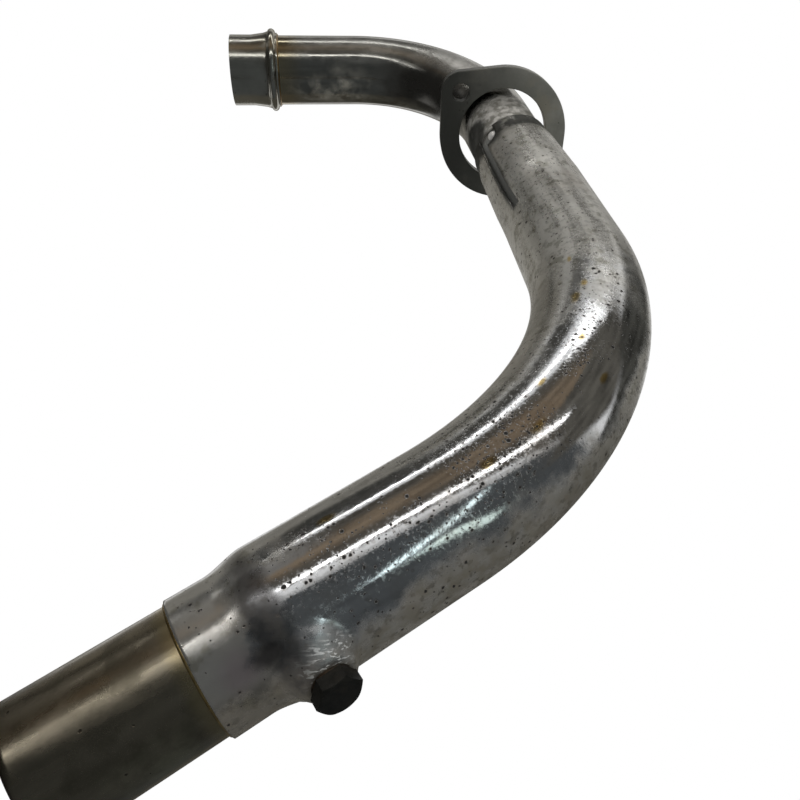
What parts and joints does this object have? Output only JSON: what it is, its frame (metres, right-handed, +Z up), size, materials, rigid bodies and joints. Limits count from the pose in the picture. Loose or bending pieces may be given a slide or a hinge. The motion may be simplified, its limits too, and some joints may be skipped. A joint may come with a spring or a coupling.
{
  "type": "exhaust header pipe",
  "caption": "Bent double-walled exhaust header with a chromed outer pipe, a beaded port sleeve, a loose oval flange and a hex test plug.",
  "frame": {"origin": "centre of the port mouth, on the port sleeve's axis", "axes": "+X along the port axis, from the mouth into the pipe; +Z up, away from the way the first bend turns"},
  "size_m": [0.2252, 0.0712, 0.4224],
  "materials": {
    "inner_pipe": "satin, heat tinted",
    "port_ferrule": "satin",
    "ferrule_weld": "satin, straw tinted",
    "flange": "dull, oxidised",
    "outer_pipe": "polished, pitted",
    "button_weld": "rough",
    "tail_weld": "satin, brass tinted",
    "plug_boss": "satin",
    "plug_washer": "dull",
    "plug_bolt": "black, satin"
  },
  "bodies": {
    "root": {"inner_pipe": "inner_pipe", "port_ferrule": "port_ferrule", "ferrule_weld": "ferrule_weld", "flange": "flange", "outer_pipe": "outer_pipe", "button_weld": "button_weld", "tail_weld": "tail_weld", "plug_boss": "plug_boss", "plug_washer": "plug_washer", "plug_bolt": "plug_bolt"}
  },
  "joints": []
}
